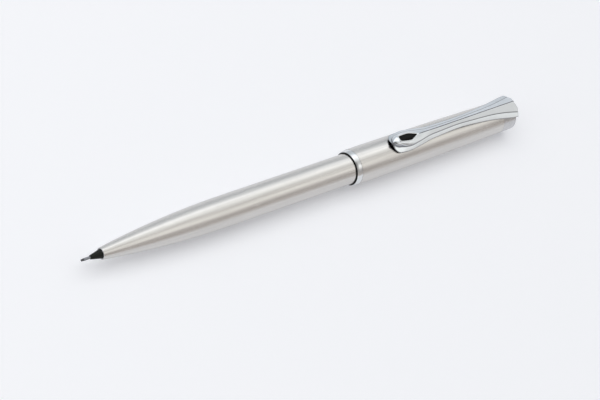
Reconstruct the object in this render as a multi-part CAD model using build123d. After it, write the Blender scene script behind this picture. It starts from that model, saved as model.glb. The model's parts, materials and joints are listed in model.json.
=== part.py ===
"""A metal mechanical pencil, 0.5 mm lead, whose whole upper barrel is pressed to feed the lead.

Stations run along the pencil in millimetres from the tip of the lead, and radii are measured from its
axis. `save` then puts each piece in the part's own frame: the pencil lies along X with its tip
towards -X and its clip up, the middle of its length is at x = 0, and it rests on z = 0.
"""

import os

from build123d import *

# ---- the whole pencil ----
LENGTH = 137.0
UPPER_R = 4.78  # the upper barrel's largest radius
UPPER_R_X = 85.0  # and its station
UPPER_ARC_R = 2000.0  # the upper barrel's long crown
FIT = 0.03  # radial clearance of a sliding fit
TOUCH = 0.05  # gap left where two moving pieces meet at a stop

# ---- travel of the moving pieces ----
PUSH = 3.0
CLUTCH_TRAVEL = 0.75

# ---- lead ----
LEAD_R = 0.28
LEAD_LENGTH = 60.0
LEAD_BORE_R = LEAD_R + 0.02
LEAD_PROUD = 0.6  # lead showing past the steel sleeve
SPARE_LEADS = 3
SPARE_LEAD_X = 47.5
SPARE_LEAD_OFFSET = 0.98  # from the axis

# ---- lower barrel ----
NOSE_X = 5.45
NOSE_R = 1.5
NOSE_BORE_R = 1.37
GRIP_R = 4.02
GRIP_X = 42.0  # where the ogive runs out into the plain cylinder
GRIP_STEP_X = 80.15  # the rear end, inside the upper barrel, is stepped down
GRIP_STEP = 0.2
GRIP_REAR_X = 92.5
GRIP_BORE_R = 3.45
SEAT_X = 13.0  # the cone seats in the bore's taper from here to its shoulder
GRIP_BORE = [(NOSE_X, NOSE_BORE_R), (SEAT_X, 1.95), (26.0, 2.95), (GRIP_X, GRIP_BORE_R)]

# ---- nose cone, sleeve and lead brake ----
CONE_X = 2.45
CONE_TIP_R = 0.52
CONE_R = 1.2
SLEEVE_R = 0.35
SLEEVE_REAR_X = 7.0
BRAKE_R = 1.0
BRAKE_REAR_X = 9.4
BUSH_REAR_X = 11.8
FUNNEL_R = 0.8
FUNNEL_THROAT_R = 0.4
FUNNEL_DEPTH = 1.0
CHUCK_ROOM_R = 1.4
CONE_SHOULDER_X = 17.0
CONE_THREAD_R = 1.92
CONE_REAR_X = 20.5

# ---- clutch ----
RING_X = 21.3
RING_LENGTH = 2.6
RING_R = 1.55
RING_BORE_FRONT_R = 1.12
RING_BORE_REAR_R = 0.97
RING_CHAMFER = 0.1
# the chuck's outline ahead of its stem, as (distance behind the ring's front face, radius)
CHUCK_HEAD = [(-0.7, 0.75), (-0.35, 1.05), (0.0, 1.09), (2.3, 0.95), (2.9, 0.82), (5.7, 0.82), (6.2, 1.0)]
CHUCK_STEM_R = CHUCK_HEAD[-1][1]
CHUCK_REAR_X = 39.0
CHUCK_REAR_BORE_R = 0.5
CHUCK_BORE_STEP_X = 26.0
CHUCK_BORE_CONE = 0.2
CHUCK_SLOT = 0.22
CHUCK_SLOT_REAR_X = 29.5
JAWS = 3

# ---- mechanism housing ----
CHAMBER_R = 1.62
HOUSING_R = 2.22
HOUSING_REAR_R = 2.6
HOUSING_STEP_X = 30.0
HOUSING_TAPER = 1.0
LEDGE_X = RING_X + RING_LENGTH + TOUCH
LEDGE_LENGTH = 1.1
LEDGE_BORE_R = 1.07
TUBE_GUIDE_X = 37.0
TUBE_GUIDE_GAP = 0.1
HOUSING_REAR_X = 58.0
INSERT_X = 50.0
INSERT_REAR_X = 57.0
THREAD_R = 2.95

# ---- return spring ----
SPRING_X = LEDGE_X + LEDGE_LENGTH
SPRING_REAR_X = 35.0
SPRING_R = 1.31
SPRING_WIRE_R = 0.14
SPRING_TURNS = 9.5

# ---- lead magazine ----
FLANGE_LENGTH = 1.2
CONNECTOR_R = 1.45
SPIGOT_LENGTH = 6.0
SPIGOT_BORE_R = 1.0
SPIGOT_FUNNEL = 2.0
TUBE_X = 40.2
TUBE_REAR_X = 112.0
TUBE_R = 2.0
TUBE_BORE_R = 1.35
TUBE_CHAMFER = (0.3, 0.15)  # along the magazine, and off its radius

# ---- eraser ----
ERASER_REAR_X = 119.5
ERASER_R = 1.43
ERASER_DOME = 0.6
FERRULE_R = 1.65
FERRULE_PLUG = 3.5
FERRULE_CUP = 3.4
FERRULE_FLOOR = 0.5
FERRULE_GAP = 0.1

# ---- upper barrel ----
MOUTH_X = 80.27
BUSH_LIP = 0.1
BUSH_R = 4.36
BUSH_CHAMFER = 0.06
CENTER_RING_X = MOUTH_X + BUSH_LIP
CENTER_RING_MIDDLE_X = 80.95
CENTER_RING_REAR_X = 81.8
CENTER_RING_FRONT_R = 4.38
CENTER_RING_MIDDLE_R = 4.62
CENTER_RING_REAR_R = 4.71
UPPER_REAR_X = 132.0
UPPER_BORE_R = 4.25
UPPER_BORE_TAPER_X = 110.0
UPPER_BORE_REAR_R = 3.65
MOUTH_REAR_X = 83.6  # the bush's bore steps down to the guide here
SLIDE_BUSH_REAR_X = 92.0
SPOOL_X = 97.0
SPOOL_REAR_X = 118.0
SPOOL_RIM = 2.0  # length of the spool's rim at each end
SPOOL_R = 2.9
SPOOL_REAR_BORE_R = 2.3
SPOOL_STEP = 1.5  # length of the step that presses on the magazine
SPOOL_LEAD_IN = (0.8, 0.4)  # along the spool, and off its bore

# ---- finial ----
COLLAR_REAR_X = 136.6
COLLAR_REAR_R = 4.11
STUD_R = 1.6
STUD_GAP = 0.5  # behind the end insert's front face
COLLAR_ROUND = 0.22
COLLAR_EDGE = 0.02  # the finial stands this much proud of the barrel where they meet
DISC_SEAT_X = 136.0
DISC_R = 3.3
DISC_SINK = 0.1  # the disc's rim lies this far below the finial's
END_INSERT_X = 127.5

# ---- clip ----
CLIP_GAP = 0.2  # between the clip's underside and the barrel
CLIP_X = 92.8
# station, ridge height, crease half-width and height, edge half-width and height
CLIP_SECTIONS = [
    (92.5, 5.70, 0.90, 5.40, 2.80, 4.85),
    (93.4, 6.20, 1.10, 5.38, 2.95, 4.75),
    (95.0, 6.65, 1.65, 5.34, 3.00, 4.60),
    (98.4, 6.30, 2.20, 5.30, 3.10, 4.70),
    (101.9, 6.06, 1.70, 5.30, 2.70, 4.66),
    (105.4, 6.00, 1.10, 5.25, 2.15, 4.60),
    (109.0, 6.00, 0.95, 5.31, 1.90, 4.70),
    (115.7, 6.05, 0.82, 5.47, 1.70, 4.91),
    (122.5, 6.12, 1.07, 5.34, 2.05, 4.73),
    (129.0, 6.18, 1.50, 5.12, 2.80, 4.33),
    (133.0, 6.22, 2.05, 4.75, 3.45, 3.98),
    (137.0, 6.28, 2.60, 4.40, 3.80, 3.72),
]
CLIP_UNDERCUT = (0.5, 1.1)  # how far the flank runs in, and down, below the edge
CLIP_NOSE = (93.0, 2.2)  # end of the blunt front
CLIP_NOSE_CORNER = (93.3, 2.64)  # middle of the round corner behind it
CLIP_SHOULDER = (94.1, 2.86)
CLIP_FLANK = [(97.1, 3.05), (101.5, 2.66), (105.6, 2.05), (109.0, 1.83), (115.2, 1.63)]
CLIP_FLANK_REAR = [(120.9, 1.9), (124.3, 2.12), (127.6, 2.48), (131.2, 3.06), (133.6, 3.42), (136.4, 3.62)]
CLIP_TAIL_X = 135.7  # the tail's edge is slightly hollow in the middle
NOSE_LIFT_X = 96.5  # ahead of here the underside turns up
NOSE_LIFT_SLOPE = 0.1  # this much per millimetre
# the kite-shaped window in the clip's head
WINDOW_FRONT = (95.0, 0.64)
WINDOW_BELLY = (98.5, 1.0)
WINDOW_TIP = (101.2, 0.0)
INLAY_SINK = 0.12  # the inlay lies this far below the clip's surface
CUT_HEIGHT = 8.0  # height of a cutting block, taller than the clip
CUT_OVERRUN = 2.0  # how far a cutting shape runs past what it cuts
LUG_X = 134.2  # the clip is held, and flexes, at a lug let into the finial
LUG_LENGTH = 2.4
LUG_WIDTH = 2.0
LUG_BOTTOM = 2.9
LUG_GAP = 0.1


def point(x, r):
    """A point of a turned outline, in the plane that is revolved."""
    return Vector(x, 0, r)


def turned(*outline):
    """A solid turned about the axis from straight runs between (station, radius) points."""
    edges = Polyline(*[point(x, r) for x, r in outline], close=True)
    return revolve(make_face(edges), Axis.X)


def turned_from(edges):
    """A solid turned about the axis from a closed chain of edges."""
    return revolve(make_face(edges), Axis.X)


def tube(x0, x1, outer, bore):
    """A plain hollow cylinder between two stations."""
    return turned((x0, bore), (x0, outer), (x1, outer), (x1, bore))


def rod(x0, x1, radius):
    """A plain solid cylinder between two stations."""
    return turned((x0, 0), (x0, radius), (x1, radius), (x1, 0))


def upper_radius(x):
    """The upper barrel's outer radius at a station."""
    return UPPER_R - (x - UPPER_R_X) ** 2 / (2 * UPPER_ARC_R)


def upper_arc(x0, x1, offset=0.0):
    """The upper barrel's crowned outline between two stations, moved outwards by offset."""
    stations = (x0, (x0 + x1) / 2, x1)
    return ThreePointArc(*[point(x, upper_radius(x) + offset) for x in stations])


def upper_bore(x):
    """The upper barrel's inner radius at a station."""
    share = max(0.0, (x - UPPER_BORE_TAPER_X) / (UPPER_REAR_X - UPPER_BORE_TAPER_X))
    return UPPER_BORE_R + share * (UPPER_BORE_REAR_R - UPPER_BORE_R)


def grip_bore(x):
    """The lower barrel's inner radius at a station of its tapered nose."""
    for (xa, ra), (xb, rb) in zip(GRIP_BORE, GRIP_BORE[1:]):
        if x <= xb:
            return ra + (x - xa) / (xb - xa) * (rb - ra)
    return GRIP_BORE_R


# ---- pieces held by the lower barrel ----


def lower_barrel():
    """Brushed steel tube: an ogive nose that runs out into a plain cylinder."""
    nose = point(NOSE_X, NOSE_R)
    shoulder = point(GRIP_X, GRIP_R)
    rear = [
        point(GRIP_STEP_X, GRIP_R),
        point(GRIP_STEP_X, GRIP_R - GRIP_STEP),
        point(GRIP_REAR_X, GRIP_R - GRIP_STEP),
        point(GRIP_REAR_X, GRIP_BORE_R),
    ]
    bore = [point(x, r) for x, r in GRIP_BORE]
    edges = [
        TangentArc(shoulder, nose, tangent=(-1, 0, 0)),
        Polyline(shoulder, *rear, *reversed(bore), nose),
    ]
    return turned_from(edges)


def nose_cone():
    """Black plastic tip: it seats in the barrel's taper and screws into the mechanism housing."""
    shoulder_r = grip_bore(CONE_SHOULDER_X) - FIT
    return turned(
        (CONE_X, SLEEVE_R),
        (CONE_X, CONE_TIP_R),
        (NOSE_X, CONE_R),
        (SEAT_X, grip_bore(SEAT_X) - FIT),
        (CONE_SHOULDER_X, shoulder_r),
        (CONE_SHOULDER_X, CONE_THREAD_R),
        (CONE_REAR_X, CONE_THREAD_R),
        (CONE_REAR_X, CHUCK_ROOM_R),
        (BUSH_REAR_X, CHUCK_ROOM_R),
        (BUSH_REAR_X, BRAKE_R),
        (SLEEVE_REAR_X, BRAKE_R),
        (SLEEVE_REAR_X, SLEEVE_R),
    )


def lead_sleeve():
    """Steel tube that guides the lead to the paper."""
    return tube(LEAD_PROUD, SLEEVE_REAR_X, SLEEVE_R, LEAD_BORE_R)


def lead_retainer():
    """Rubber brake that holds the lead while the chuck is open."""
    return tube(SLEEVE_REAR_X, BRAKE_REAR_X, BRAKE_R, LEAD_BORE_R)


def retainer_bush():
    """Bush that keeps the rubber brake in its pocket, with a funnel for the lead."""
    return turned(
        (BRAKE_REAR_X, FUNNEL_THROAT_R),
        (BRAKE_REAR_X, BRAKE_R),
        (BUSH_REAR_X, BRAKE_R),
        (BUSH_REAR_X, FUNNEL_R),
        (BUSH_REAR_X - FUNNEL_DEPTH, FUNNEL_THROAT_R),
    )


def clutch_housing():
    """Plastic tube that holds the clutch and the spring, and guides the lead magazine."""
    spring_room_x = LEDGE_X + LEDGE_LENGTH
    guide_r = TUBE_R + TUBE_GUIDE_GAP
    return turned(
        (CONE_SHOULDER_X + TOUCH, CONE_THREAD_R + FIT),
        (CONE_SHOULDER_X + TOUCH, HOUSING_R),
        (HOUSING_STEP_X, HOUSING_R),
        (HOUSING_STEP_X + HOUSING_TAPER, HOUSING_REAR_R),
        (INSERT_X, HOUSING_REAR_R),
        (INSERT_X, THREAD_R),
        (HOUSING_REAR_X, THREAD_R),
        (HOUSING_REAR_X, guide_r),
        (TUBE_GUIDE_X, guide_r),
        (TUBE_GUIDE_X, CHAMBER_R),
        (spring_room_x, CHAMBER_R),
        (spring_room_x, LEDGE_BORE_R),
        (LEDGE_X, LEDGE_BORE_R),
        (LEDGE_X, CHAMBER_R),
        (CONE_REAR_X + TOUCH, CHAMBER_R),
        (CONE_REAR_X + TOUCH, CONE_THREAD_R + FIT),
    )


def barrel_insert():
    """Brass bush pressed into the lower barrel: the housing's rear end screws into it."""
    return tube(INSERT_X, INSERT_REAR_X, GRIP_BORE_R, THREAD_R)


def return_spring():
    """Compression spring between the housing's ledge and the connector, ends ground flat."""
    length = SPRING_REAR_X - SPRING_X
    ground = TOUCH / 5
    pitch = length / (SPRING_TURNS - 1)
    coil = Helix(pitch=pitch, height=pitch * SPRING_TURNS, radius=SPRING_R)
    wire = sweep(Plane(origin=coil @ 0, z_dir=coil % 0) * Circle(SPRING_WIRE_R), coil)
    along_x = Pos(SPRING_X - pitch / 2, 0, 0) * Rot(0, 90, 0) * wire
    return along_x & rod(SPRING_X + ground, SPRING_REAR_X - ground, CHAMBER_R)


# ---- clutch, feed unit and leads ----


def clutch_ring():
    """Brass ring whose coned bore closes the chuck's jaws."""
    rear = RING_X + RING_LENGTH
    return turned(
        (RING_X, RING_BORE_FRONT_R),
        (RING_X, RING_R - RING_CHAMFER),
        (RING_X + RING_CHAMFER, RING_R),
        (rear - RING_CHAMFER, RING_R),
        (rear, RING_R - RING_CHAMFER),
        (rear, RING_BORE_REAR_R),
    )


def chuck():
    """Brass collet with three jaws, closed on the lead."""
    head = [(RING_X + behind, radius) for behind, radius in CHUCK_HEAD]
    front = head[0][0]
    body = turned(
        (front, LEAD_BORE_R),
        *head,
        (CHUCK_REAR_X, CHUCK_STEM_R),
        (CHUCK_REAR_X, CHUCK_REAR_BORE_R),
        (CHUCK_BORE_STEP_X, CHUCK_REAR_BORE_R),
        (CHUCK_BORE_STEP_X - CHUCK_BORE_CONE, LEAD_BORE_R),
    )
    length = CHUCK_SLOT_REAR_X - front + CUT_OVERRUN
    slot = Pos(CHUCK_SLOT_REAR_X - length / 2, 0, CHUCK_STEM_R) * Box(length, CHUCK_SLOT, 2 * CHUCK_STEM_R)
    for jaw in range(JAWS):
        body -= Rot(360 / JAWS * jaw, 0, 0) * slot
    return body


def connector():
    """Brass coupling: the chuck is pressed in its front, the lead magazine sits on its spigot."""
    front = SPRING_REAR_X
    return turned(
        (front, CHUCK_STEM_R),
        (front, RING_R),
        (front + FLANGE_LENGTH, RING_R),
        (front + FLANGE_LENGTH, CONNECTOR_R),
        (TUBE_X, CONNECTOR_R),
        (TUBE_X, TUBE_BORE_R - FIT),
        (TUBE_X + SPIGOT_LENGTH, TUBE_BORE_R - FIT),
        (TUBE_X + SPIGOT_LENGTH, SPIGOT_BORE_R),
        (CHUCK_REAR_X + SPIGOT_FUNNEL, CHUCK_REAR_BORE_R),
        (CHUCK_REAR_X, CHUCK_REAR_BORE_R),
        (CHUCK_REAR_X, CHUCK_STEM_R),
    )


def lead_tube():
    """Plastic lead magazine: the upper barrel's sleeve grips it and presses on its rear end."""
    run, drop = TUBE_CHAMFER
    return turned(
        (TUBE_X + TOUCH, TUBE_BORE_R),
        (TUBE_X + TOUCH, TUBE_R),
        (TUBE_REAR_X - run, TUBE_R),
        (TUBE_REAR_X, TUBE_R - drop),
        (TUBE_REAR_X, TUBE_BORE_R),
    )


def lead():
    """The lead in use."""
    return rod(0, LEAD_LENGTH, LEAD_R)


def spare_leads():
    """Spare leads loose in the magazine."""
    stick = Pos(0, 0, -SPARE_LEAD_OFFSET) * rod(SPARE_LEAD_X, SPARE_LEAD_X + LEAD_LENGTH, LEAD_R)
    return [Rot(360 / SPARE_LEADS * i, 0, 0) * stick for i in range(SPARE_LEADS)]


def eraser_ferrule():
    """Metal cup that plugs the magazine and carries the eraser."""
    seat = TUBE_REAR_X + FIT
    plug_r = TUBE_BORE_R - FIT
    return turned(
        (seat - FERRULE_PLUG, 0),
        (seat - FERRULE_PLUG, plug_r),
        (seat, plug_r),
        (seat, FERRULE_R),
        (seat + FERRULE_CUP, FERRULE_R),
        (seat + FERRULE_CUP, ERASER_R),
        (seat + FERRULE_FLOOR, ERASER_R),
        (seat + FERRULE_FLOOR, 0),
    )


def eraser():
    """Soft round eraser with a domed end."""
    front = TUBE_REAR_X + FIT + FERRULE_FLOOR
    crown = point(ERASER_REAR_X, 0)
    rim = point(ERASER_REAR_X - ERASER_DOME, ERASER_R)
    edges = [
        TangentArc(crown, rim, tangent=(0, 0, 1)),
        Polyline(rim, point(front, ERASER_R), point(front, 0), crown),
    ]
    return turned_from(edges)


# ---- upper barrel ----


def upper_barrel():
    """Brushed steel tube with a long shallow crown, pressed to feed the lead."""
    edges = [
        upper_arc(CENTER_RING_REAR_X, UPPER_REAR_X),
        Polyline(
            point(UPPER_REAR_X, upper_radius(UPPER_REAR_X)),
            point(UPPER_REAR_X, UPPER_BORE_REAR_R),
            point(UPPER_BORE_TAPER_X, UPPER_BORE_R),
            point(CENTER_RING_REAR_X, UPPER_BORE_R),
            point(CENTER_RING_REAR_X, upper_radius(CENTER_RING_REAR_X)),
        ),
    ]
    return turned_from(edges)


def slide_bush():
    """Black plastic bush in the mouth of the upper barrel: it runs on the lower barrel."""
    mouth = GRIP_R + FIT
    guide = mouth - GRIP_STEP
    return turned(
        (MOUTH_X, mouth),
        (MOUTH_X, BUSH_R - BUSH_CHAMFER),
        (MOUTH_X + BUSH_CHAMFER, BUSH_R),
        (CENTER_RING_X, BUSH_R),
        (CENTER_RING_X, UPPER_BORE_R),
        (SLIDE_BUSH_REAR_X, UPPER_BORE_R),
        (SLIDE_BUSH_REAR_X, guide),
        (MOUTH_REAR_X, guide),
        (MOUTH_REAR_X, mouth),
    )


def center_ring():
    """Chrome ring that rises from the bush's lip to the upper barrel in a rounded bevel."""
    front, rear = CENTER_RING_X, CENTER_RING_REAR_X
    front_edge = point(front, CENTER_RING_FRONT_R)
    rear_edge = point(rear, CENTER_RING_REAR_R)
    edges = [
        ThreePointArc(front_edge, point(CENTER_RING_MIDDLE_X, CENTER_RING_MIDDLE_R), rear_edge),
        Polyline(rear_edge, point(rear, UPPER_BORE_R), point(front, UPPER_BORE_R), front_edge),
    ]
    return turned_from(edges)


def cap_sleeve():
    """Plastic spool in the upper barrel: it grips the magazine, and its step presses on it."""
    bore = TUBE_R + FIT
    rear_rim_x = SPOOL_REAR_X - SPOOL_RIM
    step_x = TUBE_REAR_X + TOUCH
    step_bore = FERRULE_R + FERRULE_GAP
    run, flare = SPOOL_LEAD_IN
    return turned(
        (SPOOL_X, bore + flare),
        (SPOOL_X, UPPER_BORE_R),
        (SPOOL_X + SPOOL_RIM, UPPER_BORE_R),
        (SPOOL_X + SPOOL_RIM, SPOOL_R),
        (rear_rim_x, SPOOL_R),
        (rear_rim_x, upper_bore(rear_rim_x)),
        (SPOOL_REAR_X, upper_bore(SPOOL_REAR_X)),
        (SPOOL_REAR_X, SPOOL_REAR_BORE_R),
        (step_x + SPOOL_STEP, SPOOL_REAR_BORE_R),
        (step_x + SPOOL_STEP, step_bore),
        (step_x, step_bore),
        (step_x, bore),
        (SPOOL_X + run, bore),
    )


def end_insert():
    """Brass plug pressed into the rear of the upper barrel, tapped for the finial's stud."""
    front, rear = END_INSERT_X, UPPER_REAR_X - TOUCH
    return turned((front, STUD_R), (front, upper_bore(front)), (rear, upper_bore(rear)), (rear, STUD_R))


def end_collar():
    """Chrome finial with a stud that screws into the end insert and a pocket for the clip's lug."""
    front = UPPER_REAR_X
    stud_x = END_INSERT_X + STUD_GAP
    start = point(front, upper_radius(front) + COLLAR_EDGE)
    edge = point(COLLAR_REAR_X - COLLAR_ROUND, COLLAR_REAR_R)
    rim = point(COLLAR_REAR_X, COLLAR_REAR_R - COLLAR_ROUND)
    inset = COLLAR_ROUND * (1 - 0.5**0.5)
    bulge = point(COLLAR_REAR_X - inset, COLLAR_REAR_R - inset)
    edges = [
        Line(start, edge),
        ThreePointArc(edge, bulge, rim),
        Polyline(
            rim,
            point(COLLAR_REAR_X, DISC_R),
            point(DISC_SEAT_X, DISC_R),
            point(DISC_SEAT_X, 0),
            point(stud_x, 0),
            point(stud_x, STUD_R),
            point(front, STUD_R),
            start,
        ),
    ]
    return turned_from(edges) - lug(LUG_GAP)


def end_disc():
    """Plain domed disc let into the finial."""
    crown = point(LENGTH, 0)
    rim = point(COLLAR_REAR_X - DISC_SINK, DISC_R)
    edges = [
        TangentArc(crown, rim, tangent=(0, 0, 1)),
        Polyline(rim, point(DISC_SEAT_X, DISC_R), point(DISC_SEAT_X, 0), crown),
    ]
    return turned_from(edges)


# ---- clip ----


def flat(x, y):
    """A point of the clip's outline seen from above."""
    return Vector(x, y, 0)


def clip_section(x, ridge, crease_w, crease_h, edge_w, edge_h):
    """One cross-section of the clip: a ridge, a crease and an edge each side, over an undercut flank."""
    side = [(crease_w, crease_h), (edge_w, edge_h), (edge_w - CLIP_UNDERCUT[0], edge_h - CLIP_UNDERCUT[1])]
    right = [Vector(x, -y, z) for y, z in side]
    left = [Vector(x, y, z) for y, z in reversed(side)]
    return make_face(Polyline(Vector(x, 0, ridge), *right, *left, close=True))


def across(point_xy):
    """The same outline point on the clip's other side."""
    return (point_xy[0], -point_xy[1])


def clip_outline():
    """The clip seen from above: blunt nose, narrow waist, flared tail with a hollow edge."""
    flank = [CLIP_SHOULDER, *CLIP_FLANK, *CLIP_FLANK_REAR]
    tail = flank[-1]
    edges = [
        ThreePointArc(flat(*across(CLIP_NOSE)), flat(CLIP_X, 0), flat(*CLIP_NOSE)),
        ThreePointArc(flat(*tail), flat(CLIP_TAIL_X, 0), flat(*across(tail))),
    ]
    corner = [CLIP_NOSE, CLIP_NOSE_CORNER, CLIP_SHOULDER]
    for side in (lambda xy: xy, across):
        edges.append(ThreePointArc(*[flat(*side(xy)) for xy in corner]))
        edges.append(Spline(*[flat(*side(xy)) for xy in flank]))
    return edges


def window_outline():
    """The kite-shaped window near the clip's nose."""
    corners = [WINDOW_FRONT, WINDOW_BELLY, WINDOW_TIP, across(WINDOW_BELLY), across(WINDOW_FRONT)]
    return Polyline(*[flat(x, y) for x, y in corners], close=True)


def prism(edges):
    """A vertical block on an outline seen from above, from the axis to above the clip."""
    return extrude(make_face(edges), CUT_HEIGHT)


def lug(gap=0.0):
    """The block under the clip's tail, grown by gap on every side where it cuts its own pocket."""
    height = UPPER_R - LUG_BOTTOM
    block = Box(LUG_LENGTH + 2 * gap, LUG_WIDTH + 2 * gap, height + 2 * gap)
    return Pos(LUG_X, 0, LUG_BOTTOM + height / 2) * block


def barrel_room():
    """The upper barrel and the gap that the clip keeps from it, wider under the turned-up nose."""
    front, rear = CLIP_X - CUT_OVERRUN, LENGTH + CUT_OVERRUN
    lift_r, rear_r = upper_radius(NOSE_LIFT_X) + CLIP_GAP, upper_radius(rear) + CLIP_GAP
    front_r = lift_r + NOSE_LIFT_SLOPE * (NOSE_LIFT_X - front)
    outline = [(rear, rear_r), (rear, 0), (front, 0), (front, front_r), (NOSE_LIFT_X, lift_r)]
    wall = Polyline(*[point(x, r) for x, r in outline])
    return turned_from([upper_arc(NOSE_LIFT_X, rear, CLIP_GAP), wall])


def clip_body():
    """The clip's outer form, with no window and nothing cut away below."""
    return loft([clip_section(*section) for section in CLIP_SECTIONS], ruled=True)


def clip():
    """Chrome clip: a faceted tongue that flares into a fan-shaped tail over the finial."""
    body = clip_body() & prism(clip_outline())
    body -= barrel_room()
    body -= prism(window_outline())
    return body.solids().sort_by(SortBy.VOLUME)[-1] + lug()


def clip_inlay():
    """Black inlay in the clip's window, just below the clip's surface."""
    return (Pos(0, 0, -INLAY_SINK) * clip_body() & prism(window_outline())) - barrel_room()


PIECES = {
    "lower_barrel": lower_barrel,
    "nose_cone": nose_cone,
    "lead_sleeve": lead_sleeve,
    "lead_retainer": lead_retainer,
    "retainer_bush": retainer_bush,
    "clutch_housing": clutch_housing,
    "barrel_insert": barrel_insert,
    "return_spring": return_spring,
    "clutch_ring": clutch_ring,
    "chuck": chuck,
    "connector": connector,
    "lead_tube": lead_tube,
    "lead": lead,
    "spare_leads": spare_leads,
    "eraser_ferrule": eraser_ferrule,
    "eraser": eraser,
    "upper_barrel": upper_barrel,
    "slide_bush": slide_bush,
    "center_ring": center_ring,
    "cap_sleeve": cap_sleeve,
    "end_insert": end_insert,
    "end_collar": end_collar,
    "end_disc": end_disc,
    "clip": clip,
    "clip_inlay": clip_inlay,
}


def save(name, shape):
    """Puts a piece in the part's frame and writes its STEP file."""
    place = Pos(-LENGTH / 2, 0, UPPER_R)
    shapes = shape if isinstance(shape, list) else [shape]
    solids = [solid for one in shapes for solid in (place * one).solids()]
    export_step(Compound(solids), f"parts/{name}.step")


os.makedirs("parts", exist_ok=True)
for name, make in PIECES.items():
    save(name, make())
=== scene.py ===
"""Looks for the metal mechanical pencil: brushed barrels, chrome trim, a faceted clip and a studio floor.

The scene is in metres in the part's own frame: the pencil lies along X with its tip towards -X and its clip
up. Lengths written in millimetres are turned into metres by MM. The clip is laid out in millimetres from its
own nose, its ridge and the pencil's axis, and clip_point() brings it into the frame.
"""

import json
import math

import bmesh
import bpy
from mathutils import Matrix, Vector


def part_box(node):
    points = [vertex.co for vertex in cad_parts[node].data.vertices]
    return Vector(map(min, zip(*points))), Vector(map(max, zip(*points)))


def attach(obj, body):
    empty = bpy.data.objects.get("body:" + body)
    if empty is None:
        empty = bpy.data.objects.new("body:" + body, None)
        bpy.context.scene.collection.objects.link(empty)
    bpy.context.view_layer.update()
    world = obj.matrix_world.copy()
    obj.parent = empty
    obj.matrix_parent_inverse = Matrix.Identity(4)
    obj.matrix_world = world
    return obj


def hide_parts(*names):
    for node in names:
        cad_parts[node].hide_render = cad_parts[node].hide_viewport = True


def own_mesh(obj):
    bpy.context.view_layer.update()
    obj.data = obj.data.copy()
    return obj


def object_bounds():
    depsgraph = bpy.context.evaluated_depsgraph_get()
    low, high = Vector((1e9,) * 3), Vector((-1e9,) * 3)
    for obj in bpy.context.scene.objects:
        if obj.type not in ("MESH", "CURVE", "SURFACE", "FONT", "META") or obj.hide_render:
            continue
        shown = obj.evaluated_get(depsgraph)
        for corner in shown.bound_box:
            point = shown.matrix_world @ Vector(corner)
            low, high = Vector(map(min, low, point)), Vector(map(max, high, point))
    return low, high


MM = 0.001
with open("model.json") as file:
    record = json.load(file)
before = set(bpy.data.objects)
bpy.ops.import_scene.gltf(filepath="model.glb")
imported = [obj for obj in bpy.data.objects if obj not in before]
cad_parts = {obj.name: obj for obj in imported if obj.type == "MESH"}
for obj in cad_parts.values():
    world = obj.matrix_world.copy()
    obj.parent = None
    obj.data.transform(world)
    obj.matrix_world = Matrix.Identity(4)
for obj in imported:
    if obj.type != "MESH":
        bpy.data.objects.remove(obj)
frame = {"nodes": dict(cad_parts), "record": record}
cad_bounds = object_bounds()

BARREL_LOW, BARREL_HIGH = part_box("lower_barrel")
AXIS_Z = (BARREL_LOW[2] + BARREL_HIGH[2]) / 2
TIP_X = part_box("lead")[0][0]
TAIL_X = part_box("end_disc")[1][0]
CENTRE = Vector(((TIP_X + TAIL_X) / 2, 0, AXIS_Z))
CLIP_NOSE_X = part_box("clip")[0][0]
SPRING_LOW, SPRING_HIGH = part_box("return_spring")
SPRING_LENGTH = SPRING_HIGH[0] - SPRING_LOW[0]

# ---- camera ----
CAMERA_AZIMUTH = -58.9
CAMERA_ELEVATION = 47.9
CAMERA_DISTANCE = 0.5013
CAMERA_LENS = 120.0
PENCIL_SLOPE = 19.03  # degrees, how steeply the pencil rises across the picture
AIM_RIGHT = -2.635 * MM  # how far to the right of the pencil's middle the camera aims, and how far above it
AIM_UP = -4.677 * MM

# ---- room ----
DARK_END = (-0.60, -0.40, 0.69)  # direction of the room's dark end
SCATTERED_LIGHT = 0.32
FLOOR_GLOW = 0.25
FLOOR_HALF = 3.0
FLOOR_DROP = 0.02 * MM

# ---- clip ----
# distance behind the nose, ridge height, dome power, dome edge power, crease half-width and height,
# edge half-width and height; heights are above the pencil's axis, all in mm
CLIP_STATIONS = [
    (2.2, 6.67, 3.8, 2.5, 1.66, 5.34, 2.90, 4.60),
    (3.6, 6.56, 2.2, 1.5, 2.05, 5.31, 3.05, 4.63),
    (5.6, 6.32, 1.9, 1.2, 2.21, 5.30, 3.08, 4.71),
    (7.4, 6.16, 1.6, 1.1, 1.98, 5.30, 2.86, 4.70),
    (9.1, 6.06, 1.3, 1.0, 1.69, 5.30, 2.62, 4.67),
    (12.6, 6.01, 1.05, 1.0, 1.10, 5.25, 2.05, 4.61),
    (16.0, 6.01, 1.0, 1.0, 0.95, 5.31, 1.83, 4.72),
    (22.4, 6.08, 1.0, 1.0, 0.81, 5.48, 1.64, 4.92),
    (28.1, 6.13, 1.0, 1.0, 1.02, 5.38, 1.90, 4.78),
    (34.5, 6.20, 1.0, 1.0, 1.35, 5.20, 2.46, 4.46),
    (38.5, 6.24, 1.0, 1.0, 1.77, 4.94, 3.04, 4.14),
    (41.5, 6.26, 1.0, 1.0, 2.23, 4.64, 3.48, 3.88),
    (43.8, 6.28, 1.0, 1.0, 2.62, 4.38, 3.66, 3.78),
]
CLIP_HUB = CLIP_STATIONS[0][0]  # the nose fans out round this point of the ridge
CLIP_LENGTH = CLIP_STATIONS[-1][0]
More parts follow.
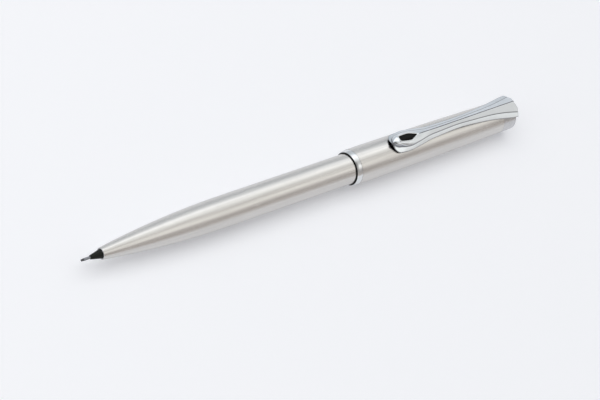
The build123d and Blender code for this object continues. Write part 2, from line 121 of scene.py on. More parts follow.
# the crease and the edge round the nose: reach ahead of the hub, bluntness, height ahead, how soon it falls
NOSE_CREASE = (2.12, 1.9, 5.64, 2.0)
NOSE_EDGE = (2.2, 2.2, 5.58, 1.2)
NOSE_ROWS = 20
CLIP_ROWS = 120
DOME_SHARES = (0.15, 0.3, 0.45, 0.6, 0.72, 0.82, 0.9, 0.96)  # points between the cut lines of ridge and crease
SKIRT_SHARES = (0.25, 0.5, 0.75, 0.92, 1.0)  # points from the crease's cut line out to the edge
SKIRT_CURVE = 1.1
UNDERSIDE_SHARES = (0.8, 0.5, 0.2, 0.0)  # points from the foot in to the middle
WALL = (0.02, 0.15)  # the upright strip under the edge: how far it leans in, and its depth
LEAST_FLANK = 0.01  # height that is always left between the wall's lower end and the foot
FOOT_INSET = (0.08, 0.42)  # how far the foot lies inside the edge at the nose, and how much further at the tail
FOOT_DEPTH = (0.35, 0.85)  # how far the foot lies below the edge, likewise
FOOT_CHANGE = (28.0, 10.0)  # where the foot starts to change from nose to tail, and over what length
CLIP_GAP = 0.10
CLIP_UNDERSIDE_LIFT = 0.185  # slope of the underside ahead of NOSE_LIFT_LENGTH
NOSE_LIFT_LENGTH = 3.7
LIFT_HALF_WIDTH = 1.7
GROOVE = (0.10, 0.06)  # half-width and depth of the cut lines along ridge and crease
RIDGE_GROOVE_START = 9.0
RIDGE_GROOVE_RUN_IN = 2.0
TAIL_START = 38.5
TAIL_HOLLOW = (0.8, 1.5, 0.35)  # the tail's end: depth of its hollow, half-width it spans, rounding of the wings
WING_SPAN = 2.0  # the wings' rounding grows over this width, outwards from the hollow
TAIL_BEVEL = (0.10, 0.995, 0.05, 0.02)  # the last row: length, narrowing, drop of the top, rise of the underside
# Two of the clip's materials are painted shade: a darker copy of the plating and a near-black copy.
PLATED, SHADE_SLOT, DEEP_SHADE_SLOT = range(3)  # the clip's materials
FACET_ANGLE = 22  # degrees between two faces from which the edge between them is sharp
# These strips get the darker plating as painted shade along the crease, the edge and under it.
SHADED_STRIPS = (10, 11, 16, 17, 18)  # both sides of the crease, the edge, the wall and the flank below it
UNDERSIDE_STRIP = 19
MERGE_DISTANCE = 0.0005 * MM
WINDOW = [(2.0, 0.0), (2.05, 0.5), (2.3, 0.75), (3.9, 0.92), (5.7, 1.08), (6.6, 0.78), (7.6, 0.34), (8.5, 0.0)]
ENAMEL_RISE = 0.03
RIM = (0.16, 0.14, 0.02)  # the window's bead: radius, and how far its middle lies outside and above the window
BARREL_CROWN = (4.78, -7.8, 4000)  # radius, where it is largest behind the clip's nose, and its fall

# ---- small parts ----
LIP = (1.22, 1.51, 0.09)  # the lower barrel's rolled lip: inner and outer radius, and how far it bulges
SPRING_WIRE_RADIUS = 0.14 * MM
SPRING_TURNS = 9.5
SPRING_CLOSED_TURNS = 0.8  # turns at each end that lie coil on coil


# ---- small helpers ----


def nodes_of(material):
    """A material's node tree and its shader."""
    tree = material.node_tree
    return tree, tree.nodes["Principled BSDF"]


def new_material(name, color, roughness, metallic=0.0):
    """A principled material with plain starting values."""
    material = bpy.data.materials.new(name)
    material.use_nodes = True
    tree, shader = nodes_of(material)
    shader.inputs["Base Color"].default_value = (*color, 1)
    shader.inputs["Roughness"].default_value = roughness
    shader.inputs["Metallic"].default_value = metallic
    return material, tree, shader


def math_node(tree, operation, first, second=None):
    """A math node on sockets or numbers, as its output socket."""
    node = tree.nodes.new("ShaderNodeMath")
    node.operation = operation
    for socket, value in zip(node.inputs, (first, second)):
        if value is None:
            continue
        if isinstance(value, (int, float)):
            socket.default_value = value
        else:
            tree.links.new(value, socket)
    return node.outputs[0]


def ramp(tree, factor, stops):
    """A colour ramp from (position, grey or colour) stops, as its colour socket."""
    node = tree.nodes.new("ShaderNodeValToRGB")
    elements = node.color_ramp.elements
    while len(elements) < len(stops):
        elements.new(0.5)
    for element, (position, value) in zip(elements, stops):
        element.position = position
        color = (value,) * 3 if isinstance(value, (int, float)) else value
        element.color = (*color, 1)
    tree.links.new(factor, node.inputs["Fac"])
    return node.outputs["Color"]


def noise(tree, vector, scale, detail=3.0, roughness=0.55):
    """A noise texture on a vector socket, as its value socket."""
    node = tree.nodes.new("ShaderNodeTexNoise")
    node.inputs["Scale"].default_value = scale
    node.inputs["Detail"].default_value = detail
    node.inputs["Roughness"].default_value = roughness
    tree.links.new(vector, node.inputs["Vector"])
    return node.outputs["Fac"]


def object_position(tree):
    """The surface point in the part's frame, as a vector socket."""
    return tree.nodes.new("ShaderNodeTexCoord").outputs["Object"]


def stretched(tree, vector, scale):
    """A vector socket scaled differently along each axis."""
    node = tree.nodes.new("ShaderNodeMapping")
    node.inputs["Scale"].default_value = scale
    tree.links.new(vector, node.inputs["Vector"])
    return node.outputs["Vector"]


def bump(tree, shader, height, distance, strength=1.0):
    """Feeds a height socket, in metres times distance, into the shader's normal."""
    node = tree.nodes.new("ShaderNodeBump")
    node.inputs["Distance"].default_value = distance
    node.inputs["Strength"].default_value = strength
    tree.links.new(height, node.inputs["Height"])
    tree.links.new(node.outputs["Normal"], shader.inputs["Normal"])


def wrapped_position(tree):
    """Object position unrolled round the pencil: along X, and the arc length round the axis at 4 mm radius."""
    split = tree.nodes.new("ShaderNodeSeparateXYZ")
    tree.links.new(object_position(tree), split.inputs["Vector"])
    height = math_node(tree, "SUBTRACT", split.outputs["Z"], AXIS_Z)
    turn = math_node(tree, "ARCTAN2", split.outputs["Y"], height)
    join = tree.nodes.new("ShaderNodeCombineXYZ")
    tree.links.new(split.outputs["X"], join.inputs["X"])
    tree.links.new(math_node(tree, "MULTIPLY", turn, 4 * MM), join.inputs["Y"])
    return join.outputs["Vector"]


# ---- materials ----


def brushed_steel(name, color):
    """Stainless steel brushed lengthwise: long fine streaks in tone, gloss and height."""
    material, tree, shader = new_material(name, color, 0.3, 1.0)
    position = wrapped_position(tree)
    fine = noise(tree, stretched(tree, position, (60, 9000, 1)), 1.0, 2.0)
    broad = noise(tree, stretched(tree, position, (25, 1500, 1)), 1.0, 3.0)
    cloud = noise(tree, stretched(tree, position, (120, 220, 1)), 1.0, 3.0)
    streaks = math_node(tree, "ADD", math_node(tree, "MULTIPLY", fine, 0.6), math_node(tree, "MULTIPLY", broad, 0.4))
    dark = tuple(0.86 * c for c in color)
    light = tuple(min(1.0, 1.08 * c) for c in color)
    tree.links.new(ramp(tree, streaks, [(0.3, dark), (0.7, light)]), shader.inputs["Base Color"])
    gloss = math_node(tree, "ADD", math_node(tree, "MULTIPLY", fine, 0.10), math_node(tree, "MULTIPLY", cloud, 0.10))
    tree.links.new(math_node(tree, "ADD", gloss, 0.15), shader.inputs["Roughness"])
    shader.inputs["Anisotropic"].default_value = 0.75
    tangent = tree.nodes.new("ShaderNodeTangent")
    tangent.direction_type = "RADIAL"
    tangent.axis = "X"
    tree.links.new(tangent.outputs["Tangent"], shader.inputs["Tangent"])
    bump(tree, shader, streaks, 0.004 * MM)
    return material


def polished(name, color, roughness=0.06):
    """Polished plating with hairline scratches and a faint haze where it is handled."""
    material, tree, shader = new_material(name, color, roughness, 1.0)
    position = object_position(tree)
    haze = noise(tree, stretched(tree, position, (150, 150, 150)), 1.0, 4.0)
    scratch = noise(tree, stretched(tree, position, (300, 5000, 5000)), 1.0, 2.0)
    hair = ramp(tree, scratch, [(0.60, 0.0), (0.66, 1.0)])
    spread = math_node(tree, "ADD", math_node(tree, "MULTIPLY", haze, 0.10), math_node(tree, "MULTIPLY", hair, 0.06))
    tree.links.new(math_node(tree, "ADD", spread, roughness), shader.inputs["Roughness"])
    dull = tuple(0.93 * c for c in color)
    tree.links.new(ramp(tree, haze, [(0.35, dull), (0.6, color)]), shader.inputs["Base Color"])
    bump(tree, shader, haze, 0.006 * MM)
    return material


def satin_behind(material, start, end, extra):
    """Makes a polished material duller from start to end along the pencil."""
    tree, shader = nodes_of(material)
    split = tree.nodes.new("ShaderNodeSeparateXYZ")
    tree.links.new(object_position(tree), split.inputs["Vector"])
    spread = tree.nodes.new("ShaderNodeMapRange")
    spread.inputs["From Min"].default_value = start
    spread.inputs["From Max"].default_value = end
    spread.inputs["To Max"].default_value = extra
    tree.links.new(split.outputs["X"], spread.inputs["Value"])
    plain = shader.inputs["Roughness"].links[0].from_socket
    tree.links.new(math_node(tree, "ADD", plain, spread.outputs["Result"]), shader.inputs["Roughness"])


def moulded(name, color, roughness, gloss_spread=0.12, grain=2500, specular=0.5):
    """Moulded plastic or rubber: fine grain, uneven gloss and slightly uneven colour."""
    material, tree, shader = new_material(name, color, roughness)
    shader.inputs["Specular IOR Level"].default_value = specular
    position = object_position(tree)
    fine = noise(tree, stretched(tree, position, (grain, grain, grain)), 1.0, 3.0)
    cloud = noise(tree, stretched(tree, position, (400, 400, 400)), 1.0, 3.0)
    dark = tuple(0.85 * c for c in color)
    light = tuple(min(1.0, 1.15 * c) for c in color)
    tree.links.new(ramp(tree, cloud, [(0.3, dark), (0.7, light)]), shader.inputs["Base Color"])
    spread = math_node(tree, "MULTIPLY", math_node(tree, "SUBTRACT", cloud, 0.5), gloss_spread * 2)
    tree.links.new(math_node(tree, "ADD", spread, roughness), shader.inputs["Roughness"])
    bump(tree, shader, fine, 0.01 * MM)
    return material


def turned_metal(name, color, roughness=0.28):
    """Turned or drawn metal: faint rings round the axis."""
    material, tree, shader = new_material(name, color, roughness, 1.0)
    position = wrapped_position(tree)
    rings = noise(tree, stretched(tree, position, (12000, 60, 1)), 1.0, 2.0)
    stain = noise(tree, stretched(tree, position, (500, 500, 500)), 1.0, 4.0)
    dark = tuple(0.82 * c for c in color)
    tree.links.new(ramp(tree, stain, [(0.35, dark), (0.65, color)]), shader.inputs["Base Color"])
    tree.links.new(
        math_node(tree, "ADD", math_node(tree, "MULTIPLY", rings, 0.15), roughness - 0.08),
        shader.inputs["Roughness"],
    )
    bump(tree, shader, rings, 0.004 * MM)
    return material


STEEL = brushed_steel("brushed_steel", (0.66, 0.645, 0.625))
CHROME = polished("chrome", (0.72, 0.735, 0.745))
CLIP_CHROME = polished("clip_chrome", (0.70, 0.735, 0.765), 0.04)
FINIAL_CHROME = polished("finial_chrome", (0.59, 0.59, 0.60), 0.22)
# Painted shade: a darker copy of the chrome for the clip's crease, edge, wall, flank and tail end.
SHADE_PAINTED_CHROME = polished("painted_shade_chrome", (0.30, 0.31, 0.33), 0.3)
satin_behind(CLIP_CHROME, CLIP_NOSE_X + 1 * MM, CLIP_NOSE_X + 7 * MM, 0.24)
# Painted shade: a near-black copy of the chrome for the clip's underside and the cut line along its ridge.
DEEP_SHADE_PAINTED_CHROME = polished("painted_deep_shade_chrome", (0.10, 0.10, 0.11), 0.25)
BLACK_PLASTIC = moulded("black_plastic", (0.008, 0.009, 0.008), 0.32, 0.2, 1800, 0.2)
BLACK_GLOSS = moulded("black_gloss", (0.002, 0.002, 0.002), 0.22, 0.05, 900, 0.06)
GREY_PLASTIC = moulded("grey_plastic", (0.42, 0.43, 0.44), 0.42)
RUBBER = moulded("rubber", (0.03, 0.03, 0.03), 0.7)
ERASER = moulded("eraser", (0.82, 0.81, 0.78), 0.85)
LEAD = moulded("lead", (0.05, 0.05, 0.055), 0.42, 0.2, 6000)
SLEEVE_STEEL = turned_metal("sleeve_steel", (0.27, 0.28, 0.30), 0.30)
SPRING_STEEL = turned_metal("spring_steel", (0.55, 0.55, 0.55), 0.25)
FERRULE_METAL = turned_metal("ferrule_metal", (0.74, 0.74, 0.75), 0.30)
BRASS = turned_metal("brass", (0.72, 0.53, 0.24), 0.25)

SLOT_MATERIALS = {
    "brushed_steel": STEEL,
    "chrome": CHROME,
    "black_plastic": BLACK_PLASTIC,
    "black_gloss": BLACK_GLOSS,
    "grey_plastic": GREY_PLASTIC,
    "rubber": RUBBER,
    "eraser": ERASER,
    "lead": LEAD,
    "sleeve_steel": SLEEVE_STEEL,
    "spring_steel": SPRING_STEEL,
    "ferrule_metal": FERRULE_METAL,
    "brass": BRASS,
}
for part in frame["record"]["subparts"]:
    node = frame["nodes"][part["node"]]
    node.data.materials.clear()
    node.data.materials.append(SLOT_MATERIALS[part["material_slot"]])
for name in ("end_collar", "end_disc"):
    frame["nodes"][name].data.materials[0] = FINIAL_CHROME


# ---- camera ----


def place_camera():
    """A long lens that looks down along the pencil's near side, rolled so that the pencil climbs the picture."""
    azimuth, elevation = math.radians(CAMERA_AZIMUTH), math.radians(CAMERA_ELEVATION)
    flat = math.cos(elevation)
    towards = Vector((math.sin(azimuth) * flat, -math.cos(azimuth) * flat, math.sin(elevation)))
    along = Vector((1, 0, 0))
    along = (along - along.dot(towards) * towards).normalized()
    across = towards.cross(along)
    slope = math.radians(PENCIL_SLOPE)
    right = math.cos(slope) * along - math.sin(slope) * across
    up = math.sin(slope) * along + math.cos(slope) * across
    position = CENTRE + CAMERA_DISTANCE * towards
    back = (position - (CENTRE + AIM_RIGHT * right + AIM_UP * up)).normalized()
    right = up.cross(back).normalized()
    up = back.cross(right)
    data = bpy.data.cameras.new("camera")
    data.lens = CAMERA_LENS
    data.clip_start = 0.01
    camera = bpy.data.objects.new("camera", data)
    camera.matrix_world = Matrix.Translation(position) @ Matrix((right, up, back)).transposed().to_4x4()
    bpy.context.collection.objects.link(camera)
    bpy.context.scene.camera = camera


place_camera()


# ---- clip ----


def smooth_row(table, x):
    """A table's row at x: its columns follow smooth curves through the stations."""
    stations = [row[0] for row in table]
    x = min(max(x, stations[0]), stations[-1])
    i = max(k for k in range(len(table) - 1) if stations[k] <= x)
    before, here, there, after = (table[min(max(k, 0), len(table) - 1)] for k in (i - 1, i, i + 1, i + 2))
    span = there[0] - here[0]
    t = (x - here[0]) / span
    values = []
    for column in range(1, len(here)):
        slope_here = (there[column] - before[column]) / max(there[0] - before[0], 1e-6) * span
        slope_there = (after[column] - here[column]) / max(after[0] - here[0], 1e-6) * span
        values.append(
            here[column] * (2 * t**3 - 3 * t**2 + 1)
            + slope_here * (t**3 - 2 * t**2 + t)
            + there[column] * (3 * t**2 - 2 * t**3)
            + slope_there * (t**3 - t**2)
        )
    return values


def station(behind):
    """The clip's section values at a distance behind the nose; ahead of the hub, the hub's."""
    return smooth_row(CLIP_STATIONS, behind)


def dome_height(behind, share, crease_h):
    """Height of the clip between its ridge, share 0, and its crease, share 1."""
    ridge, power, edge_power = station(behind)[:3]
    return crease_h + (ridge - crease_h) * max(0.0, 1 - share**power) ** (1 / edge_power)


def clip_top(behind, across):
    """The height of the clip's dome or ridge facets at a distance behind the nose and across the ridge."""
    crease_w, crease_h = station(behind)[3:5]
    share = min(1.0, abs(across) / crease_w)
    if behind < CLIP_HUB:
        reach, bluntness = NOSE_CREASE[:2]
        share = (share**bluntness + ((CLIP_HUB - behind) / reach) ** bluntness) ** (1 / bluntness)
    return dome_height(behind, min(1.0, share), crease_h)


def barrel_top(behind, across):
    """The height of the upper barrel's surface plus the clip's clearance, under a point of the clip."""
    radius, widest, fall = BARREL_CROWN
    lift = CLIP_UNDERSIDE_LIFT * max(0.0, NOSE_LIFT_LENGTH - behind) * max(0.0, 1 - (across / LIFT_HALF_WIDTH) ** 2)
    radius += CLIP_GAP + lift - (behind - widest) ** 2 / fall
    return math.sqrt(max(radius**2 - across**2, 0))


def fan_point(curve, half_width, turn):
    """A point of a curve round the nose: ahead of the hub at turn 0, beside it at a right angle."""
    reach, bluntness = curve[:2]
    behind = CLIP_HUB - reach * math.cos(turn) ** (2 / bluntness)
    return behind, half_width * math.sin(turn) ** (2 / bluntness)


def nose_height(curve, beside, turn):
    """A height on a curve round the nose: its own ahead of the hub, the one beside the hub at a right angle."""
    ahead, fall = curve[2:]
    return ahead + (beside - ahead) * math.sin(turn) ** fall


def foot_of(behind, edge, edge_h, turn):
    """The foot of the flank under an edge point, as its place and height."""
    change_start, change_length = FOOT_CHANGE
    tail = min(max((behind - change_start) / change_length, 0), 1)
    inset = FOOT_INSET[0] + FOOT_INSET[1] * tail
    foot = (edge[0] + inset * math.cos(turn), max(0.0, edge[1] - inset * math.sin(turn)))
    return foot, max(edge_h - FOOT_DEPTH[0] - FOOT_DEPTH[1] * tail, barrel_top(*foot))


def clip_half_row(behind, turn):
    """Half a row of clip points (behind, across, height) from the ridge outwards and back below to the middle."""
    crease_w, crease_h, edge_w, edge_h = station(behind)[3:]
    crease, edge = (behind, crease_w), (behind, edge_w)
    if turn < math.pi / 2:
        crease, edge = fan_point(NOSE_CREASE, crease_w, turn), fan_point(NOSE_EDGE, edge_w, turn)
        crease_h = nose_height(NOSE_CREASE, crease_h, turn)
        edge_h = nose_height(NOSE_EDGE, edge_h, turn)
    cut, cut_depth = GROOVE
    ridge_depth = cut_depth * min(1.0, max(0.0, (behind - RIDGE_GROOVE_START) / RIDGE_GROOVE_RUN_IN))
    dome_cut = cut / math.dist((behind, 0), crease)
    skirt_cut = cut / math.dist(crease, edge)
    row = []
    for share in [0.0, dome_cut, *[dome_cut + (1 - 2 * dome_cut) * f for f in DOME_SHARES], 1 - dome_cut, 1.0]:
        height = dome_height(behind, share, crease_h)
        if share == 0:
            height -= ridge_depth
        if share == 1:
            height -= cut_depth
        row.append((behind + (crease[0] - behind) * share, crease[1] * share, height))
    for share in [skirt_cut, *[skirt_cut + (1 - skirt_cut) * f for f in SKIRT_SHARES]]:
        height = crease_h + (edge_h - crease_h) * share**SKIRT_CURVE
        row.append((crease[0] + (edge[0] - crease[0]) * share, edge[1] * share + crease[1] * (1 - share), height))
    foot, foot_h = foot_of(behind, edge, edge_h, turn)
    lean, depth = WALL
    wall_h = max(edge_h - depth, foot_h + LEAST_FLANK)
    row.append((edge[0] + lean * math.cos(turn), max(0.0, edge[1] - lean * math.sin(turn)), wall_h))
    row.append((*foot, foot_h))
    for share in UNDERSIDE_SHARES:
        spot = (behind + (foot[0] - behind) * share, foot[1] * share)
        row.append((*spot, barrel_top(*spot)))
    return row


def clip_point(behind, across, height):
    """A clip point in the part's frame, with the tail's hollow end and rounded wings."""
    depth, half, rounding = TAIL_HOLLOW
    share = max(0.0, (behind - TAIL_START) / (CLIP_LENGTH - TAIL_START)) ** 2
    middle = depth * max(0.0, 1 - (across / half) ** 2)
    wing = rounding * max(0.0, (abs(across) - half) / WING_SPAN) ** 2
    return (CLIP_NOSE_X + (behind - (middle + wing) * share) * MM, across * MM, AXIS_Z + height * MM)


def add_mesh(name, points, faces, materials, body, smooth_angle=30, slots=None):
    """A mesh piece that rides on a body, smooth except across sharp edges; slots gives each face's material."""
    mesh = bpy.data.meshes.new(name)
    mesh.from_pydata(points, [], faces)
    for material in materials:
        mesh.materials.append(material)
    if slots:
        mesh.polygons.foreach_set("material_index", slots)
    piece = bpy.data.objects.new(name, mesh)
    bpy.context.collection.objects.link(piece)
    shape = bmesh.new()
    shape.from_mesh(mesh)
    bmesh.ops.recalc_face_normals(shape, faces=shape.faces)
    shape.to_mesh(mesh)
    shape.free()
    mesh.shade_smooth()
    mesh.set_sharp_from_angle(angle=math.radians(smooth_angle))
    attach(piece, body)
    return piece


def merge_doubles(mesh):
    """Joins points that fall together, as at the nose's hub, and drops what has no area."""
    shape = bmesh.new()
    shape.from_mesh(mesh)
    bmesh.ops.remove_doubles(shape, verts=shape.verts, dist=MERGE_DISTANCE)
    bmesh.ops.dissolve_degenerate(shape, edges=shape.edges, dist=MERGE_DISTANCE)
    bmesh.ops.recalc_face_normals(shape, faces=shape.faces)
    shape.to_mesh(mesh)
    shape.free()


def clip_strip_material(strip, in_groove, last_row):
    """Which of the clip's materials a strip of a row has, counted from the ridge outwards and back below: the
    underside and the ridge's cut line get the near-black painted shade, and the crease, edge, wall, flank and the
    last row get the darker painted shade.
    """
    if strip >= UNDERSIDE_STRIP or (strip == 0 and in_groove):
        return DEEP_SHADE_SLOT
    if strip in SHADED_STRIPS or last_row:
        return SHADE_SLOT
    return PLATED


def make_clip():
    """The faceted clip: a ball-like nose on a flat skirt, a domed head, a waist and a flared tail."""
    turns = [math.pi / 2 * i / NOSE_ROWS for i in range(NOSE_ROWS)]
    stations = [CLIP_HUB + (CLIP_LENGTH - CLIP_HUB) * i / CLIP_ROWS for i in range(CLIP_ROWS + 1)]
    halves = [clip_half_row(CLIP_HUB, turn) for turn in turns]
    halves += [clip_half_row(behind, math.pi / 2) for behind in stations]
    length, narrowing, drop, rise = TAIL_BEVEL
    last_half = halves[-1]
    halves.append(
        [
            (x + length, w * narrowing, h - drop if i <= UNDERSIDE_STRIP else h + rise)
            for i, (x, w, h) in enumerate(last_half)
        ]
    )
    points = []
    for half in halves:
        points += [clip_point(*p) for p in half] + [clip_point(x, -w, h) for x, w, h in reversed(half[1:-1])]
    count = len(last_half)
    ring = 2 * count - 2
    faces, slots = [], []
    for row in range(len(halves) - 1):
        in_groove = row > NOSE_ROWS and stations[min(row - NOSE_ROWS, CLIP_ROWS)] > RIDGE_GROOVE_START
        here, there = row * ring, (row + 1) * ring
        for j in range(ring):
            k = (j + 1) % ring
            faces.append((here + j, here + k, there + k, there + j))
            slots.append(clip_strip_material(min(j, ring - 1 - j), in_groove, row == len(halves) - 2))
    last = (len(halves) - 1) * ring
    # The tail's end faces get the darker plating as painted shade.
    for j in range(count - 1):
        faces.append((last + j, last + j + 1, last + (ring - j - 1) % ring, last + (ring - j) % ring))
        slots.append(SHADE_SLOT)
    # The plating, then its darker and near-black copies, which paint shade.
    materials = [CLIP_CHROME, SHADE_PAINTED_CHROME, DEEP_SHADE_PAINTED_CHROME]
    clip = add_mesh("clip_chrome", points, faces, materials, "clip_arm", FACET_ANGLE, slots)
    merge_doubles(clip.data)
    clip.data.set_sharp_from_angle(angle=math.radians(FACET_ANGLE))
    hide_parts("clip")


def window_half_width(behind):
    """Half the window's width at a distance behind the clip's nose."""
    for (x0, w0), (x1, w1) in zip(WINDOW, WINDOW[1:]):
        if x0 <= behind <= x1:
            return w0 + (w1 - w0) * (behind - x0) / (x1 - x0)
    return 0.0


def make_inlay():
    """Black enamel in the window, following the head's dome just above it."""
    rows, columns = 40, 9
    front, rear = WINDOW[0][0], WINDOW[-1][0]
    points, faces = [], []
    for i in range(rows + 1):
        behind = front + (rear - front) * i / rows
        half = window_half_width(behind)
        for j in range(columns):
            across = half * (2 * j / (columns - 1) - 1)
            points.append(clip_point(behind, across, clip_top(behind, across) + ENAMEL_RISE))
    for i in range(rows):
        for j in range(columns - 1):
            start = i * columns + j
            faces.append((start, start + 1, start + columns + 1, start + columns))
    inlay = add_mesh("clip_enamel", points, faces, [BLACK_GLOSS], "clip_arm", 60)
    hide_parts("clip_inlay")


def make_window_rim():
    """The polished bead round the window."""
    radius, outside, above = RIM
    middle = (WINDOW[0][0] + WINDOW[-1][0]) / 2
    half = [(x + outside * (1 if x > middle else -1), w + outside if w else 0.0) for x, w in WINDOW]
    outline = half + [(x, -w) for x, w in reversed(half[1:-1])]
    curve = bpy.data.curves.new("clip_window_rim", "CURVE")
    curve.dimensions = "3D"
    curve.bevel_depth = radius * MM
    curve.bevel_resolution = 4
    spline = curve.splines.new("NURBS")
    spline.points.add(len(outline) - 1)
    for point, (behind, across) in zip(spline.points, outline):
        point.co = (*clip_point(behind, across, clip_top(behind, across) + above), 1)
    spline.use_cyclic_u = True
    spline.order_u = 3
    spline.resolution_u = 8
    curve.materials.append(CHROME)
    rim = bpy.data.objects.new("clip_window_rim", curve)
    bpy.context.collection.objects.link(rim)
    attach(rim, "clip_arm")


make_clip()
make_inlay()
make_window_rim()


# ---- return spring ----


def spring_advance(turn):
    """How far along the spring, 0 to 1, its wire has come after a number of turns."""
    closed = 2 * SPRING_WIRE_RADIUS / SPRING_LENGTH
    free_turns = SPRING_TURNS - 2 * SPRING_CLOSED_TURNS
    pitch = (1 - 2 * closed * SPRING_CLOSED_TURNS) / free_turns
    if turn < SPRING_CLOSED_TURNS:
        return closed * turn
    if turn < SPRING_TURNS - SPRING_CLOSED_TURNS:
        return closed * SPRING_CLOSED_TURNS + pitch * (turn - SPRING_CLOSED_TURNS)
    return 1 - closed * (SPRING_TURNS - turn)


def make_spring():
    """The return spring as a coiled wire with its end turns lying coil on coil, riding on the barrel."""
    around, per_turn = 10, 36
    count = round(SPRING_TURNS * per_turn)
    radius = (SPRING_HIGH[2] - SPRING_LOW[2]) / 2 - SPRING_WIRE_RADIUS
    points, faces = [], []
    for i in range(count + 1):
        turn = SPRING_TURNS * i / count
        angle = 2 * math.pi * turn
        x = SPRING_LOW[0] + SPRING_WIRE_RADIUS + (SPRING_LENGTH - 2 * SPRING_WIRE_RADIUS) * spring_advance(turn)
        for j in range(around):
            tilt = 2 * math.pi * j / around
            out = radius + SPRING_WIRE_RADIUS * math.cos(tilt)
            along = x + SPRING_WIRE_RADIUS * math.sin(tilt)
            points.append((along, out * math.cos(angle), AXIS_Z + out * math.sin(angle)))
    for i in range(count):
        for j in range(around):
            k = (j + 1) % around
            here, there = i * around, (i + 1) * around
            faces.append((here + j, here + k, there + k, there + j))
    faces.append(tuple(range(around)))
    faces.append(tuple(count * around + j for j in reversed(range(around))))
    spring = add_mesh("return_spring_coil", points, faces, [SPRING_STEEL], "barrel", 50)
    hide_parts("return_spring")
    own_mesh(spring)


make_spring()


# ---- rolled lip of the lower barrel ----


def make_nose_lip():
    """The steel lip rolled in round the black cone, closing the gap between cone and barrel."""
    inner, outer, bulge = LIP
    around, section = 96, 12
    points, faces = [], []
    for i in range(around):
        angle = 2 * math.pi * i / around
        for j in range(section):
            turn = 2 * math.pi * j / section
            out = ((inner + outer) / 2 + (outer - inner) / 2 * math.cos(turn)) * MM
            x = BARREL_LOW[0] - bulge * math.sin(turn) * MM
            points.append((x, out * math.cos(angle), AXIS_Z + out * math.sin(angle)))
    for i in range(around):
        for j in range(section):
            here, there = i * section, (i + 1) % around * section
            k = (j + 1) % section
            faces.append((here + j, here + k, there + k, there + j))
    lip = add_mesh("lower_barrel_lip", points, faces, [FINIAL_CHROME], "barrel", 60)


make_nose_lip()


# ---- floor and light ----


def make_floor():
    """A wide pale sheet under the pencil."""
    mesh = bpy.data.meshes.new("floor")
    half, z = FLOOR_HALF, cad_bounds[0][2] - FLOOR_DROP
    mesh.from_pydata([(-half, -half, z), (half, -half, z), (half, half, z), (-half, half, z)], [], [(0, 1, 2, 3)])
    floor = bpy.data.objects.new("floor", mesh)
    bpy.context.collection.objects.link(floor)
    material, tree, shader = new_material("floor", (0.86, 0.87, 0.90), 0.6)
    shader.inputs["Specular IOR Level"].default_value = 0.2
    grain = noise(tree, stretched(tree, object_position(tree), (900, 900, 900)), 1.0, 4.0)
    tone = ramp(tree, grain, [(0.3, (0.855, 0.866, 0.897)), (0.7, (0.865, 0.874, 0.905))])
    tree.links.new(tone, shader.inputs["Base Color"])
    tree.links.new(tone, shader.inputs["Emission Color"])
    shader.inputs["Emission Strength"].default_value = FLOOR_GLOW
    bump(tree, shader, grain, 0.01 * MM)
    mesh.materials.append(material)


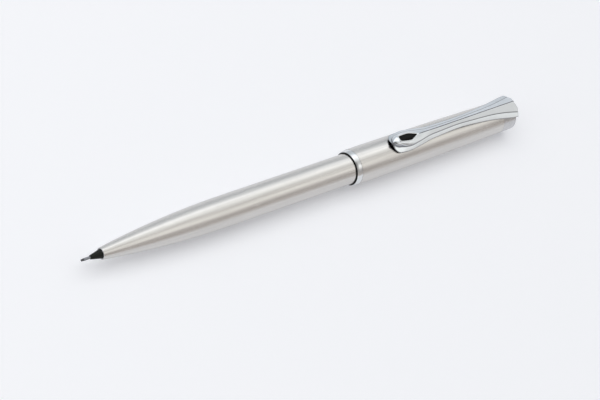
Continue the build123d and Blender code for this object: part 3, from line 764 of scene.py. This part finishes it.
def make_world():
    """A soft studio: mirrored light depends on the direction round the pencil's axis, scattered light is even."""
    world = bpy.data.worlds.new("studio")
    world.use_nodes = True
    bpy.context.scene.world = world
    tree = world.node_tree
    background = tree.nodes["Background"]
    direction = tree.nodes.new("ShaderNodeTexCoord").outputs["Generated"]
    split = tree.nodes.new("ShaderNodeSeparateXYZ")
    tree.links.new(direction, split.inputs["Vector"])
    backward = math_node(tree, "MULTIPLY", split.outputs["Y"], -1.0)
    turn = math_node(tree, "ARCTAN2", split.outputs["Z"], backward)
    share = math_node(tree, "DIVIDE", turn, math.pi)
    # 0 is the horizon on the camera's side, 0.5 straight up, 1 the horizon behind
    mirrored_stops = [
        (0.00, (0.66, 0.61, 0.58)),
        (0.10, (0.46, 0.43, 0.41)),
        (0.19, (0.55, 0.53, 0.52)),
        (0.27, (1.21, 1.18, 1.14)),
        (0.32, (1.32, 1.31, 1.26)),
        (0.39, (0.78, 0.77, 0.75)),
        (0.46, (0.75, 0.74, 0.72)),
        (0.56, (1.23, 1.24, 1.23)),
        (0.63, (1.73, 1.77, 1.77)),
        (0.70, (1.41, 1.43, 1.47)),
        (0.80, (0.73, 0.77, 0.80)),
        (0.93, (0.61, 0.64, 0.67)),
        (1.00, (0.76, 0.79, 0.83)),
    ]
    # trim that faces the viewer's end of the room sees it darker
    facing = tree.nodes.new("ShaderNodeVectorMath")
    facing.operation = "DOT_PRODUCT"
    facing.inputs[1].default_value = DARK_END
    tree.links.new(direction, facing.inputs[0])
    end = ramp(tree, facing.outputs["Value"], [(0.72, 1.0), (0.94, 0.22)])
    paths = tree.nodes.new("ShaderNodeLightPath")
    mix = tree.nodes.new("ShaderNodeMixRGB")
    tree.links.new(paths.outputs["Is Diffuse Ray"], mix.inputs["Fac"])
    dimmed = tree.nodes.new("ShaderNodeMixRGB")
    dimmed.blend_type = "MULTIPLY"
    dimmed.inputs["Fac"].default_value = 1.0
    tree.links.new(ramp(tree, share, mirrored_stops), dimmed.inputs["Color1"])
    tree.links.new(end, dimmed.inputs["Color2"])
    tree.links.new(dimmed.outputs["Color"], mix.inputs["Color1"])
    mix.inputs["Color2"].default_value = (SCATTERED_LIGHT, SCATTERED_LIGHT, SCATTERED_LIGHT, 1)
    tree.links.new(mix.outputs["Color"], background.inputs["Color"])
    background.inputs["Strength"].default_value = 1.0


def add_area(name, position, size, energy):
    """A soft light aimed at the pencil, which polished pieces don't mirror."""
    data = bpy.data.lights.new(name, "AREA")
    data.shape = "RECTANGLE"
    data.size, data.size_y = size
    data.energy = energy
    light = bpy.data.objects.new(name, data)
    light.location = position
    light.rotation_euler = (CENTRE - Vector(position)).to_track_quat("-Z", "Y").to_euler()
    light.visible_glossy = False
    bpy.context.collection.objects.link(light)


make_floor()
make_world()
add_area("key", (0.03, 0.12, 0.80), (1.2, 0.8), 3.18)
add_area("back", (-0.55, 0.32, 0.62), (1.1, 0.6), 0.75)
add_area("end", (-0.65, 0.0, 0.45), (0.5, 0.8), 0.57)

bpy.context.scene.view_settings.view_transform = "Standard"
